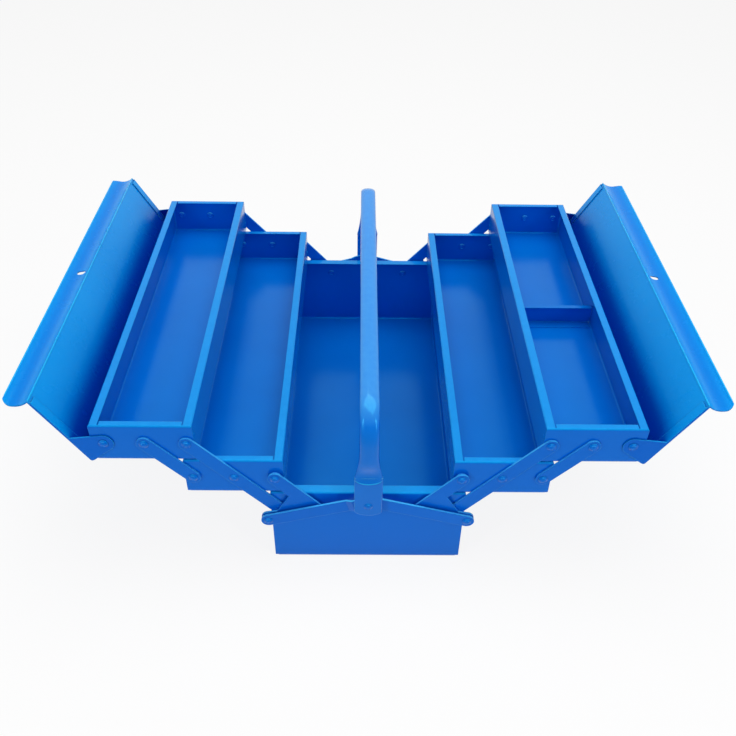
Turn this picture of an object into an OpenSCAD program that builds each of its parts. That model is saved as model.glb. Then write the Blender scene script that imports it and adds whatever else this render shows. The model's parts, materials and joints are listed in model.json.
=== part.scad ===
// Portable tool box with cantilever trays, stored open.
// X runs across, Y along the box, Z up; origin under the middle of the base.

/* [Base box] */
// Outer width of the base
base_w = 200; // [196:1:204]
// Outer length of the base and the trays
box_l = 440; // [400:5:480]
// Height of the base
base_h = 103; // [100:1:110]
// Width of the rims along the base's sides
base_side_rim = 8.5; // [6:0.5:11]
// Width of the rims across the base's ends
base_end_rim = 10.5; // [6:0.5:14]
// Bend radius along the base's bottom edges
base_bend_r = 3.5; // [2:0.5:6]

/* [Trays] */
// Outer width of a tray
tray_w = 98.2; // [97.8:0.1:98.6]
// Height of a tray
tray_h = 45; // [42:0.5:48]
// Air between stacked trays when closed
tray_air = 1; // [0.6:0.1:1.6]
// Air between the two inner walls of a closed pair
centre_air = 1.8; // [1.2:0.1:2.4]
// Width of the rims along a tray's sides
tray_side_rim = 8.5; // [6:0.5:11]
// Width of the rims across a tray's ends
tray_end_rim = 7; // [5:0.5:10]
// Bend radius along a tray's bottom edges
tray_bend_r = 3; // [2:0.5:5]
// Gap between the side rims and the end rims at the corners
rim_gap = 1.2; // [0.8:0.1:1.6]
// Thickness of the folded sheet
sheet_t = 1; // [0.8:0.1:1.2]
// Outer bend radius of the folded rims
rim_bend_r = 1.8; // [1.6:0.1:2.6]
// Height of the divider plate
divider_h = 24; // [16:1:36]
// Distance of the divider beyond the middle of the tray
divider_y = 10; // [0:1:60]
// Depth of the divider's folded top edge
divider_lip = 4.5; // [3:0.5:8]
// Depth of the divider's foot
divider_foot = 11; // [6:1:16]

/* [Linkage] */
// Rivet spacing along one stage of an arm
arm_pitch = 62.2; // [61.6:0.1:62.8]
// Width of the arms, cranks and links
arm_w = 15; // [13:0.5:15]
// Thickness of the arms, cranks and links
arm_t = 2; // [1.6:0.1:2]
// Depth of each line of rivets below the rim above it
rivet_drop = 21.5; // [20:0.5:24]
// Distance from a middle tray's inner edge to its crank rivet
crank_rivet_in = 8.5; // [8.2:0.1:9]
// Distance between neighbouring rivets on a middle tray
rivet_step = 40.6; // [39.6:0.2:41.6]
// Sideways reach of the crank's lobe
lobe_x = 51.43; // [49:0.1:53]
// Drop of the crank's lobe
lobe_z = 11.5; // [9:0.5:14]
// Where the crank's web leaves the arm
web_arm = 36; // [28:0.2:38]
// Where the crank's web leaves the lobe
web_lobe = 45; // [36:0.5:46]
// Height of the carrying handle's rivet above the bottom
handle_pin_z = 99.5; // [96:0.5:104]
// Length of a link's offset end
joggle_end = 15; // [13:1:20]
// Length of a link's sloping part
joggle_run = 6; // [5:1:12]

/* [Rivets] */
// Radius of a rivet's shank
shank_r = 3; // [2.5:0.1:3.4]
// Radial clearance in a hole that turns on a rivet
running_fit = 0.08; // [0.04:0.01:0.1]
// Radial clearance in a hole that is held by a rivet
seat_fit = 0.03; // [0.01:0.01:0.1]
// Radius of a rivet's domed head
head_r = 4.8; // [4.2:0.1:5.2]
// Height of a rivet's domed head
head_h = 1.8; // [1.4:0.1:2]
// Radius of the formed end inside the walls
tail_r = 4.6; // [4:0.1:5.4]
// Height of the formed end inside the walls
tail_h = 1.2; // [0.8:0.1:1.8]
// Radius of a spacer around a rivet
spacer_r = 5.6; // [4.6:0.1:6.4]
// Side play between the layers of the linkage
layer_play = 0.3; // [0.25:0.01:0.35]

/* [Lids] */
// Thickness of the lid sheet
lid_t = 1.2; // [1:0.1:1.4]
// Distance from a top tray's outer wall to the lid rivet
lid_pin_in = 11.65; // [11.6:0.05:11.8]
// Air between a closed lid and the tray's rim
lid_air = 3.3; // [2.5:0.1:4]
// Air between the lid's skirt and the tray's wall
skirt_air = 0.45; // [0.4:0.05:0.6]
// Depth of the lid's skirt
skirt_h = 4.5; // [4:0.1:4.6]
// Width of the flat panel from the skirt to the ridge
panel_w = 88; // [86:0.5:88.2]
// Sideways run of the curved flange
flange_x = 12; // [10:0.5:12]
// Height of the curved flange
flange_z = 22; // [16:0.5:26]
// Bulge of the curved flange
flange_bulge = 4.5; // [3:0.1:6]
// Corner radius of the curved flange
flange_corner_r = 9; // [5:0.5:12]
// Outer bend radius between panel and skirt
skirt_bend_r = 2.2; // [1.8:0.1:3]
// Radius of the ear around its rivet
ear_r = 10; // [8:0.5:10]
// Length of panel that the ear holds
ear_run = 34; // [26:1:38]
// Depth of the lid's end flanges
end_flange_h = 2.4; // [2.2:0.1:5]
// Width of the folded strip under the panel's ends
hem_w = 9; // [6:0.5:14]
// Length of the padlock slot
slot_l = 10; // [8:0.5:12]
// Width of the padlock slot
slot_w = 7; // [6:0.5:8]
// Place of the slot along the curve, from ridge to edge
slot_at = 0.38; // [0.34:0.01:0.5]

/* [Handle] */
// Width of the flat-oval tube
grip_w = 19; // [17:0.5:20]
// Thickness of the flat-oval tube
grip_t = 9; // [8:0.5:10]
// Height of the bar's axis above the handle rivet
bar_rise = 117.5; // [108:0.5:124]
// Bend radius of the tube's centreline
tube_bend_r = 32; // [24:1:36]
// Width of the flattened ends
flat_w = 28; // [24:0.5:30]
// Thickness of the flattened ends
flat_t = 3.2; // [2.4:0.1:3.6]
// Length of the flat above the rivet
flat_up = 38; // [32:0.5:42]
// Length of the flat below the rivet
flat_down = 14; // [11:0.5:15]
// Radius of the flat's rounded foot
foot_r = 20.5; // [16:0.5:26]
// Reach of the shoulder above the flat beyond its edges
shoulder_out = 0.5; // [0.3:0.1:1]
// Length of the taper from the shoulder to the tube
taper_l = 42; // [30:1:42]

/* [Hidden] */
$fn = 48;
eps = 0.01;
half_l = box_l / 2;
// Tray heights
pitch_z = tray_h + tray_air;
mid_z = base_h + tray_air;
top_z = mid_z + pitch_z;
// Linkage angles and shifts, stored open
open_a = asin(pitch_z / arm_pitch);
stage = 2 * arm_pitch * cos(open_a);
closed_x = centre_air / 2;
mid_x = closed_x + stage;
top_x = mid_x + stage;
// Rivet centres as [x, z]
base_rz = base_h - rivet_drop;
mid_rz = base_rz + pitch_z;
top_rz = mid_rz + pitch_z;
c1 = [mid_x + crank_rivet_in, mid_rz];
b1 = c1 + [rivet_step, 0];
a1 = b1 + [rivet_step, 0];
step_open = [stage / 2, pitch_z];
c0 = c1 - step_open;
b0 = b1 - step_open;
b2 = b1 + step_open;
a2 = a1 + step_open;
lid_pin = [top_x + tray_w - lid_pin_in, top_rz];
d_pin = c0 + [lobe_x, -lobe_z];
h_pin = [0, handle_pin_z];
link_l = norm(d_pin - h_pin);
// The crank's lobe, with the crank's arm along X
lobe_l = norm([lobe_x, lobe_z]);
lobe_a = open_a + atan2(lobe_z, lobe_x);
lobe_u = [cos(lobe_a), -sin(lobe_a)];
lobe_n = [sin(lobe_a), cos(lobe_a)];
// Layers outward from the end walls
arm_in = layer_play;
arm_out = arm_in + arm_t;
crank_in = arm_out + layer_play;
crank_out = crank_in + arm_t;
crank_head = crank_out + layer_play;
link_in = crank_head + head_h + layer_play;
link_out = link_in + arm_t;
over_in = link_out + layer_play;
over_out = over_in + arm_t;
flat_in = over_out + layer_play;
flat_out = flat_in + flat_t;
flat_mid = flat_in + flat_t / 2;
ear_out = layer_play + lid_t;
// Lid profile around its rivet, drawn closed
lid_rise = rivet_drop + lid_air + lid_t;
corner_x = lid_pin_in + skirt_air + lid_t;
ridge_x = corner_x - panel_w;
flange_mid = [ridge_x - flange_x / 2, lid_rise + flange_z / 2];
flange_chord = norm([flange_x, flange_z]);
flange_r = (pow(flange_chord, 2) / 4 + pow(flange_bulge, 2)) / (2 * flange_bulge);
flange_n = [flange_z, flange_x] / flange_chord;
flange_c = flange_mid - (flange_r - flange_bulge) * flange_n;
flange_a0 = atan2(lid_rise - flange_c[1], ridge_x - flange_c[0]);
flange_a1 = atan2(lid_rise + flange_z - flange_c[1], ridge_x - flange_x - flange_c[0]);
slot_a = flange_a0 + slot_at * (flange_a1 - flange_a0);
lid_open = 120;
lid_half_l = half_l + ear_out;
// Reach of cutters beyond what they cut, in millimetres or degrees
over = 5;
// How far inside a round end a straight edge meets it
inside_by = 0.1;
// Radius of the notch in a crank, around the head that swings past
notch_r = head_r + 2 * layer_play;

// Colours
blue = [0.05, 0.27, 0.72];
pale = [0.13, 0.42, 0.86];
trim = [0.07, 0.31, 0.78];

// ---- helpers ----

// Extrudes an X-Z drawing from y0 to y1
module along_y(y0, y1) {
    translate([0, y1, 0])
        rotate([90, 0, 0])
            linear_extrude(y1 - y0)
                children();
}

// A plate drawn in X-Z, from a to b outside the near end wall
module near_plate(a, b) {
    along_y(-half_l - b, -half_l - a)
        children();
}

// Children at the near end and mirrored to the far end
module both_ends() {
    children();
    mirror([0, 1, 0])
        children();
}

module left_side() {
    mirror([1, 0, 0])
        children();
}

module far_end() {
    mirror([0, 1, 0])
        children();
}

// Turned pieces stand on a rivet centre and point out of the near end wall
module on_rivet(p) {
    translate([p[0], -half_l, p[1]])
        rotate([90, 0, 0])
            children();
}

// Rectangle with rounded lower corners and rounded upper corners
module bent_rect(x0, x1, z0, z1, r_low, r_top) {
    translate([x0 + r_low, z0])
        square([x1 - x0 - 2 * r_low, z1 - z0 - r_top]);
    translate([x0 + r_top, z1 - r_top - eps])
        square([x1 - x0 - 2 * r_top, r_top + eps]);
    translate([x0, z0 + r_low])
        square([x1 - x0, z1 - z0 - r_low - r_top]);
    for (x = [x0 + r_low, x1 - r_low])
        translate([x, z0 + r_low])
            circle(r_low);
    for (x = [x0 + r_top, x1 - r_top])
        translate([x, z1 - r_top])
            circle(r_top);
}

// Folded box volume, bent along all its long edges
module bent_block(x0, x1, z0, z1, r_low, r_top, inset) {
    y1 = half_l - inset;
    intersection() {
        along_y(-y1, y1)
            bent_rect(x0 + inset, x1 - inset, z0 + inset, z1 - inset, r_low, r_top);
        rotate([90, 0, 90])
            translate([0, 0, x0 + inset])
                linear_extrude(x1 - x0 - 2 * inset)
                    bent_rect(-y1, y1, z0 + inset, z1 - inset, r_low, r_top);
    }
}

// Opening between the rims, with gaps that free the end rims at the corners
module rim_opening(w, l, gap_l) {
    g = rim_gap;
    polygon([[0, -gap_l], [g, -gap_l], [g, 0], [w - g, 0], [w - g, -gap_l], [w, -gap_l],
             [w, l + gap_l], [w - g, l + gap_l], [w - g, l], [g, l], [g, l + gap_l],
             [0, l + gap_l]]);
}

// Sheet box with inward rims all round its open top
module sheet_box(x0, x1, z0, z1, r_low, side_rim, end_rim) {
    difference() {
        bent_block(x0, x1, z0, z1, r_low, rim_bend_r, 0);
        bent_block(x0, x1, z0, z1, r_low - sheet_t, rim_bend_r - sheet_t, sheet_t);
        translate([x0 + side_rim, -half_l + end_rim, z1 - 2 * rim_bend_r])
            linear_extrude(4 * rim_bend_r)
                rim_opening(x1 - x0 - 2 * side_rim, box_l - 2 * end_rim,
                            end_rim - rim_bend_r - inside_by);
    }
}

// Rivet holes through the near and far end walls
module wall_holes(points) {
    for (p = points)
        both_ends()
            on_rivet(p)
                translate([0, 0, -sheet_t - over])
                    cylinder(h = sheet_t + 2 * over, r = shank_r + seat_fit);
}

// Stands children on the near end wall, their X from p towards q and their Z
// pointing out of the wall
module along_bar(p, q) {
    d = q - p;
    translate([p[0], -half_l, p[1]])
        rotate([90, 0, 0])
            rotate([0, 0, atan2(d[1], d[0])])
                children();
}

// Drawing of such a bar, in the layer from a to b outside the near end wall
module bar_plate(p, q, a, b) {
    along_bar(p, q)
        translate([0, 0, a])
            linear_extrude(b - a)
                children();
}

// Outline of a bar along X with a round end on each rivet
module bar_2d(l) {
    translate([0, -arm_w / 2])
        square([l, arm_w]);
    for (x = [0, l])
        translate([x, 0])
            circle(d = arm_w);
}

// Rivet holes through a bar at the given layer
module bar_holes(points, a, b, fit) {
    for (p = points)
        on_rivet(p)
            translate([0, 0, a - over])
                cylinder(h = b - a + 2 * over, r = shank_r + fit);
}

// ---- box and trays ----

module base_box() {
    color(blue)
        difference() {
            sheet_box(-base_w / 2, base_w / 2, 0, base_h, base_bend_r,
                      base_side_rim, base_end_rim);
            wall_holes([c0, b0, [-c0[0], c0[1]], [-b0[0], b0[1]]]);
        }
}

module tray(x, z, points) {
    color(blue)
        difference() {
            sheet_box(x, x + tray_w, z, z + tray_h, tray_bend_r,
                      tray_side_rim, tray_end_rim);
            wall_holes(points);
        }
}

module right_middle_tray() tray(mid_x, mid_z, [c1, b1, a1]);
module left_middle_tray() left_side() right_middle_tray();
module right_top_tray() tray(top_x, top_z, [b2, a2, lid_pin]);
module left_top_tray() left_side() right_top_tray();

// Upright plate with a folded top edge and a foot
module divider() {
    x0 = top_x + sheet_t;
    x1 = top_x + tray_w - sheet_t;
    w = x1 - x0;
    z0 = top_z + sheet_t;
    r_in = tray_bend_r - sheet_t;
    color(pale)
        difference() {
            union() {
                translate([x0 + layer_play, divider_y, z0])
                    cube([w - 2 * layer_play, sheet_t, divider_h]);
                translate([x0 + r_in + layer_play, divider_y - divider_foot + eps, z0])
                    cube([w - 2 * r_in - 2 * layer_play, divider_foot, sheet_t]);
                translate([x0 + r_in, divider_y - divider_lip + eps, z0 + divider_h - sheet_t])
                    cube([w - 2 * r_in, divider_lip, sheet_t]);
            }
            // lower corners follow the tray's bends
            for (x = [x0, x1 - r_in])
                translate([x - eps, divider_y - over, z0 - eps])
                    cube([r_in + eps, over + 2 * sheet_t, r_in]);
        }
}

// ---- lids ----

// Cross-section of the folded lid, closed, around its rivet
module lid_profile() {
    bend_c = [corner_x - skirt_bend_r, lid_rise - skirt_bend_r];
    // skirt
    translate([corner_x - lid_t, lid_rise - skirt_h])
        square([lid_t, skirt_h - skirt_bend_r]);
    // bend between skirt and panel
    intersection() {
        translate(bend_c)
            difference() {
                circle(skirt_bend_r);
                circle(skirt_bend_r - lid_t);
            }
        translate(bend_c)
            square(2 * skirt_bend_r);
    }
    // panel and curved flange, trimmed flat underneath
    difference() {
        union() {
            translate([ridge_x - lid_t / 2, lid_rise - 2 * lid_t])
                square([bend_c[0] - ridge_x + lid_t / 2, 2 * lid_t]);
            intersection() {
                translate(flange_c)
                    difference() {
                        circle(flange_r);
                        circle(flange_r - lid_t);
                    }
                translate(flange_c)
                    polygon([[0, 0],
                             2 * flange_r * [cos(flange_a0 - over), sin(flange_a0 - over)],
                             2 * flange_r * [cos((flange_a0 + flange_a1) / 2),
                                             sin((flange_a0 + flange_a1) / 2)],
                             2 * flange_r * [cos(flange_a1), sin(flange_a1)]]);
            }
        }
        translate([ridge_x - panel_w, lid_rise - lid_t - panel_w])
            square([2 * panel_w + over, panel_w]);
    }
}

// Ear with its rivet hole, and the narrow flange that runs on to the ridge
module lid_end_2d() {
    kink = [corner_x - ear_run, lid_rise - end_flange_h];
    foot = [corner_x, lid_rise - skirt_h];
    // the ear's sides touch a circle just inside its round end
    side_r = ear_r - inside_by;
    k_a = atan2(kink[1], kink[0]) + acos(side_r / norm(kink));
    f_a = atan2(foot[1], foot[0]) - acos(side_r / norm(foot));
    difference() {
        union() {
            circle(ear_r);
            polygon([[0, 0], side_r * [cos(f_a), sin(f_a)], foot,
                     [corner_x, lid_rise - skirt_bend_r],
                     [corner_x - skirt_bend_r, lid_rise - lid_t / 2],
                     [kink[0], lid_rise - lid_t / 2], kink,
                     side_r * [cos(k_a), sin(k_a)]]);
            translate([ridge_x + lid_t, lid_rise - end_flange_h])
                square([corner_x - ear_run - ridge_x, end_flange_h - lid_t / 2]);
        }
        circle(shank_r + running_fit);
    }
}

// Takes off the corners of the curved flange at the near end
module flange_corner_cut() {
    // frame with its first axis along the chord and its third out of the sheet
    top = flange_chord / 2 + over;
    translate([flange_mid[0], -lid_half_l, flange_mid[1]])
        rotate([0, -atan2(flange_z, -flange_x), 0])
            translate([flange_chord / 2 - flange_corner_r - inside_by, -inside_by, -flange_r])
                difference() {
                    translate([0, -over, 0])
                        cube([top, flange_corner_r + over, 2 * flange_r]);
                    translate([0, flange_corner_r, -over])
                        cylinder(h = 2 * flange_r + 2 * over, r = flange_corner_r);
                }
}

// The padlock slot points along the radius of the curve
module padlock_slot() {
    translate([flange_c[0], 0, flange_c[1]])
        rotate([0, -slot_a, 0])
            rotate([0, 90, 0])
                translate([0, 0, flange_r / 2])
                    linear_extrude(flange_r)
                        union() {
                            square([slot_l - slot_w, slot_w], center = true);
                            for (s = [-1, 1])
                                translate([s * (slot_l - slot_w) / 2, 0])
                                    circle(d = slot_w);
                        }
}

module lid_closed() {
    difference() {
        union() {
            along_y(-lid_half_l, lid_half_l)
                lid_profile();
            both_ends()
                near_plate(layer_play, ear_out)
                    lid_end_2d();
            // folded strip, clear of the tray's rim as the lid turns
            both_ends()
                translate([ridge_x + 2 * lid_t, -half_l - layer_play - eps, lid_rise - 2 * lid_t])
                    cube([-ear_r - ridge_x - 2 * lid_t, hem_w, lid_t + eps]);
        }
        both_ends()
            flange_corner_cut();
        padlock_slot();
    }
}

module right_lid() {
    color(pale)
        translate([lid_pin[0], 0, lid_pin[1]])
            rotate([0, lid_open, 0])
                lid_closed();
}
module left_lid() left_side() right_lid();

// ---- linkage ----

// Straight arm through all its rivets
module arm(points) {
    color(blue)
        difference() {
            bar_plate(points[0], points[len(points) - 1], arm_in, arm_out)
                bar_2d(norm(points[len(points) - 1] - points[0]));
            bar_holes(points, arm_in, arm_out, running_fit);
        }
}

module right_near_long_arm() arm([b0, b1, b2]);
module right_far_long_arm() far_end() right_near_long_arm();
module left_near_long_arm() left_side() right_near_long_arm();
module left_far_long_arm() far_end() left_near_long_arm();
module right_near_short_arm() arm([a1, a2]);
module right_far_short_arm() far_end() right_near_short_arm();
module left_near_short_arm() left_side() right_near_short_arm();
module left_far_short_arm() far_end() left_near_short_arm();

// Bell-crank: an arm and a lobe joined by a web, with a notch that lets the
// long arm's rivet head swing past when the box is closed. Its parts are drawn
// with the arm along X from the base's rivet.
module crank_plate(a, b) {
    bar_plate(c0, c1, a, b)
        children();
}

module crank_web_2d() {
    // the corners lie inside the two bars that the web joins
    inside = arm_w / 4;
    polygon([inside * ([1, 0] + lobe_u), [web_arm, -inside],
             web_lobe * lobe_u + inside * lobe_n]);
}

module crank_lobe_2d() {
    side = (arm_w / 2 - inside_by) * lobe_n;
    polygon([side, lobe_l * lobe_u + side, lobe_l * lobe_u - side, -side]);
}

module right_near_crank() {
    // where the head stands at closing
    head_closed = [arm_pitch - rivet_step * cos(open_a), -rivet_step * sin(open_a)];
    color(blue)
        difference() {
            union() {
                crank_plate(crank_in, crank_out)
                    bar_2d(arm_pitch);
                crank_plate(crank_in, crank_out)
                    crank_lobe_2d();
                crank_plate(crank_in, crank_out)
                    translate(lobe_l * lobe_u)
                        circle(d = arm_w);
                crank_plate(crank_in, crank_out)
                    crank_web_2d();
            }
            crank_plate(crank_in - over, crank_out + over)
                translate(head_closed)
                    circle(notch_r);
            bar_holes([c0, c1], crank_in, crank_out, running_fit);
            bar_holes([d_pin], crank_in, crank_out, seat_fit);
        }
}
module right_far_crank() far_end() right_near_crank();
module left_near_crank() left_side() right_near_crank();
module left_far_crank() far_end() left_near_crank();

// Plan of a link, lying along X from the handle's rivet
module link_2d() {
    difference() {
        bar_2d(link_l);
        for (x = [0, link_l])
            translate([x, 0])
                circle(shank_r + running_fit);
    }
}

// Edge-on view of the offset link: over the other link, then down
module joggle_2d() {
    slope = over_in - link_in;
    x1 = joggle_end + joggle_run;
    polygon([[-arm_w, over_in], [joggle_end, over_in], [x1, link_in],
             [link_l + arm_w, link_in], [link_l + arm_w, link_out],
             [x1 + slope / 3, link_out], [joggle_end + slope / 3, over_out],
             [-arm_w, over_out]]);
}

module right_near_link() {
    color(blue)
        bar_plate(h_pin, d_pin, link_in, link_out)
            link_2d();
}
module right_far_link() far_end() right_near_link();

module left_near_link() {
    color(blue)
        left_side()
            along_bar(h_pin, d_pin)
                intersection() {
                    linear_extrude(over_out + over)
                        link_2d();
                    rotate([90, 0, 0])
                        linear_extrude(2 * arm_w, center = true)
                            joggle_2d();
                }
}
module left_far_link() far_end() left_near_link();

// ---- handle ----

// Flat oval, w wide along X and t thick
module oval_2d(w, t) {
    square([w - t, t], center = true);
    for (s = [-1, 1])
        translate([s * (w - t) / 2, 0])
            circle(d = t);
}

// Pressed-flat end with a rounded foot, around the rivet
module handle_flat(leg_y) {
    foot_c = foot_r - flat_down;
    intersection() {
        translate([0, leg_y, -flat_down])
            linear_extrude(flat_down + flat_up)
                oval_2d(flat_w, flat_t);
        union() {
            along_y(leg_y - flat_t, leg_y + flat_t)
                translate([0, foot_c])
                    circle(foot_r);
            along_y(leg_y - flat_t, leg_y + flat_t)
                translate([-flat_w, foot_c])
                    square([2 * flat_w, flat_up]);
        }
    }
}

module handle_leg() {
    leg_y = -half_l - flat_mid;
    bend_z = handle_pin_z + bar_rise - tube_bend_r;
    taper_z = handle_pin_z + flat_up;
    leg_z = taper_z + taper_l;
    translate([0, 0, handle_pin_z])
        handle_flat(leg_y);
    // taper, open below in a shoulder that stands proud of the flat
    hull() {
        translate([0, leg_y, taper_z])
            linear_extrude(eps)
                oval_2d(flat_w + 2 * shoulder_out, grip_t, $fn = 32);
        translate([0, leg_y, leg_z - eps])
            linear_extrude(eps)
                oval_2d(grip_w, grip_t, $fn = 32);
    }
    // straight leg
    translate([0, leg_y, leg_z])
        linear_extrude(bend_z - leg_z)
            oval_2d(grip_w, grip_t);
    // bend into the bar
    translate([0, leg_y + tube_bend_r, bend_z])
        rotate([0, 0, -90])
            rotate([90, 0, 0])
                rotate_extrude(angle = 90)
                    translate([tube_bend_r, 0])
                        rotate([0, 0, 90])
                            oval_2d(grip_w, grip_t);
}

module handle() {
    bar_half = half_l + flat_mid - tube_bend_r;
    color(pale)
        difference() {
            union() {
                both_ends()
                    handle_leg();
                translate([0, bar_half, handle_pin_z + bar_rise])
                    rotate([90, 0, 0])
                        linear_extrude(2 * bar_half)
                            oval_2d(grip_w, grip_t);
            }
            both_ends()
                on_rivet(h_pin)
                    translate([0, 0, flat_in - over])
                        cylinder(h = flat_t + 2 * over, r = shank_r + seat_fit);
        }
}

// ---- rivets and spacers ----

// Domed head standing on its own foot
module dome() {
    dome_r = (pow(head_r, 2) + pow(head_h, 2)) / (2 * head_h);
    rotate_extrude()
        intersection() {
            translate([0, head_h - dome_r])
                circle(dome_r, $fn = 96);
            square([head_r, head_h]);
        }
}

// Rivet from a formed end inside the wall to a dome at the given layer
module wall_rivet(p, head_at) {
    on_rivet(p) {
        translate([0, 0, -sheet_t - tail_h])
            cylinder(h = tail_h, r1 = tail_r - tail_h / 2, r2 = tail_r);
        translate([0, 0, -sheet_t - eps])
            cylinder(h = head_at + sheet_t + 2 * eps, r = shank_r);
        translate([0, 0, head_at])
            dome();
    }
}

// Rivet with its outer end formed flush with an arm
module flush_rivet(p, flush_at) {
    on_rivet(p) {
        translate([0, 0, -sheet_t - tail_h])
            cylinder(h = tail_h, r1 = tail_r - tail_h / 2, r2 = tail_r);
        translate([0, 0, -sheet_t - eps])
            cylinder(h = flush_at + sheet_t + eps, r = shank_r);
    }
}

module spacer(p, from, to) {
    on_rivet(p)
        translate([0, 0, from])
            difference() {
                cylinder(h = to - from, r = spacer_r);
                translate([0, 0, -over])
                    cylinder(h = to - from + 2 * over, r = shank_r + seat_fit);
            }
}

module right_base_rivets() {
    both_ends() {
        wall_rivet(c0, crank_head);
        flush_rivet(b0, arm_out);
    }
}
module base_rivets() {
    color(trim) {
        right_base_rivets();
        left_side()
            right_base_rivets();
    }
}
module right_base_spacers() {
    both_ends()
        spacer(c0, 0, arm_out);
}
module base_spacers() {
    color(trim) {
        right_base_spacers();
        left_side()
            right_base_spacers();
    }
}

module right_middle_rivets() {
    color(trim)
        both_ends() {
            wall_rivet(c1, crank_head);
            wall_rivet(b1, crank_in);
            wall_rivet(a1, crank_in);
        }
}
module right_middle_spacers() {
    color(trim)
        both_ends()
            spacer(c1, 0, arm_out);
}
module left_middle_rivets() left_side() right_middle_rivets();
module left_middle_spacers() left_side() right_middle_spacers();

module right_top_rivets() {
    color(trim)
        both_ends() {
            wall_rivet(b2, crank_in);
            wall_rivet(a2, crank_in);
            wall_rivet(lid_pin, ear_out + layer_play);
        }
}
module left_top_rivets() left_side() right_top_rivets();

// Held by the crank, flush behind, with a dome outside the link
module right_crank_rivets() {
    color(trim)
        both_ends()
            on_rivet(d_pin) {
                translate([0, 0, crank_in])
                    cylinder(h = over_in - crank_in + eps, r = shank_r);
                translate([0, 0, over_in])
                    dome();
            }
}
module left_crank_rivets() left_side() right_crank_rivets();
module right_crank_spacers() {
    color(trim)
        both_ends()
            spacer(d_pin, crank_out, link_in - layer_play);
}
module left_crank_spacers() left_side() right_crank_spacers();

// Through the handle's flat, with a dome outside
module handle_rivets() {
    color(trim)
        both_ends()
            on_rivet(h_pin) {
                translate([0, 0, flat_in])
                    cylinder(h = flat_t + eps, r = shank_r);
                translate([0, 0, flat_out])
                    dome();
            }
}

base_box();
right_middle_tray();
left_middle_tray();
right_top_tray();
left_top_tray();
divider();
right_lid();
left_lid();
right_near_long_arm();
right_far_long_arm();
left_near_long_arm();
left_far_long_arm();
right_near_short_arm();
right_far_short_arm();
left_near_short_arm();
left_far_short_arm();
right_near_crank();
right_far_crank();
left_near_crank();
left_far_crank();
right_near_link();
right_far_link();
left_near_link();
left_far_link();
handle();
base_rivets();
base_spacers();
right_middle_rivets();
right_middle_spacers();
left_middle_rivets();
left_middle_spacers();
right_top_rivets();
left_top_rivets();
right_crank_rivets();
right_crank_spacers();
left_crank_rivets();
left_crank_spacers();
handle_rivets();
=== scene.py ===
"""Finishes, folded-sheet details and studio for a cantilever tool box.

Lengths are in metres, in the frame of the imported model: X across the box, Y along
it with the near end at -Y, and Z up.
"""

from __future__ import annotations

import json
import logging
import math
from dataclasses import dataclass, field, replace
from enum import Enum
from typing import Iterable, Sequence

import bmesh
import bpy
from mathutils import Matrix, Vector

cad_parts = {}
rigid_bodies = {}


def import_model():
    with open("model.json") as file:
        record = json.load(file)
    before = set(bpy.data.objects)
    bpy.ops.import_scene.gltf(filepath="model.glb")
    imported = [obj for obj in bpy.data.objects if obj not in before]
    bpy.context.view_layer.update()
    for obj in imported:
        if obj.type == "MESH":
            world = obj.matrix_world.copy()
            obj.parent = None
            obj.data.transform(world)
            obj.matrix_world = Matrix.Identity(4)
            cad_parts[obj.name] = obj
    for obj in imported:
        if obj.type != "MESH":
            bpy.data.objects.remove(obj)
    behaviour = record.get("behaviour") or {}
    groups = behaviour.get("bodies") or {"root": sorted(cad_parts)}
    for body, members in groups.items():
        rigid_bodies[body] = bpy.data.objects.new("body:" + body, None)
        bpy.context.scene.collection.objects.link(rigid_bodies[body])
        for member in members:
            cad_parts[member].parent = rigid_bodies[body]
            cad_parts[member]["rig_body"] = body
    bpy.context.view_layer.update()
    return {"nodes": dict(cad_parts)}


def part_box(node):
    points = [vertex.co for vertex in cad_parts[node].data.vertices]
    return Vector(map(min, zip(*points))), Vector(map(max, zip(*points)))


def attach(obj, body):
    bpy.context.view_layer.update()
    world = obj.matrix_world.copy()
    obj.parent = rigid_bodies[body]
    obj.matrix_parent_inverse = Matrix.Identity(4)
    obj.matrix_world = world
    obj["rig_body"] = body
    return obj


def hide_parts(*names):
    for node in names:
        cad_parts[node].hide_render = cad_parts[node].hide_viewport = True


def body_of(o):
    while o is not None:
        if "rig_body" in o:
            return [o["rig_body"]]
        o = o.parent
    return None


log = logging.getLogger("tool_box")

MM = 0.001
WHITE = (1.0, 1.0, 1.0, 1.0)
MERGE = 0.001 * MM
TUBE_SHARP, TRIM_SHARP, LIP_SHARP = 40.0, 50.0, 60.0


class Side(Enum):
    """Which side of the box a piece is on."""

    RIGHT = 1
    LEFT = -1

    @property
    def word(self) -> str:
        """The side's name as the nodes use it."""
        return self.name.lower()


class End(Enum):
    """Which end of the box a piece is at."""

    NEAR = -1
    FAR = 1


# ---------------------------------------------------------------- finishes


MIX_UNDER, MIX_OVER, MIX_RESULT = 6, 7, 2


@dataclass(frozen=True)
class Clouds:
    """Noise of one size."""

    scale: float
    detail: float


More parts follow.
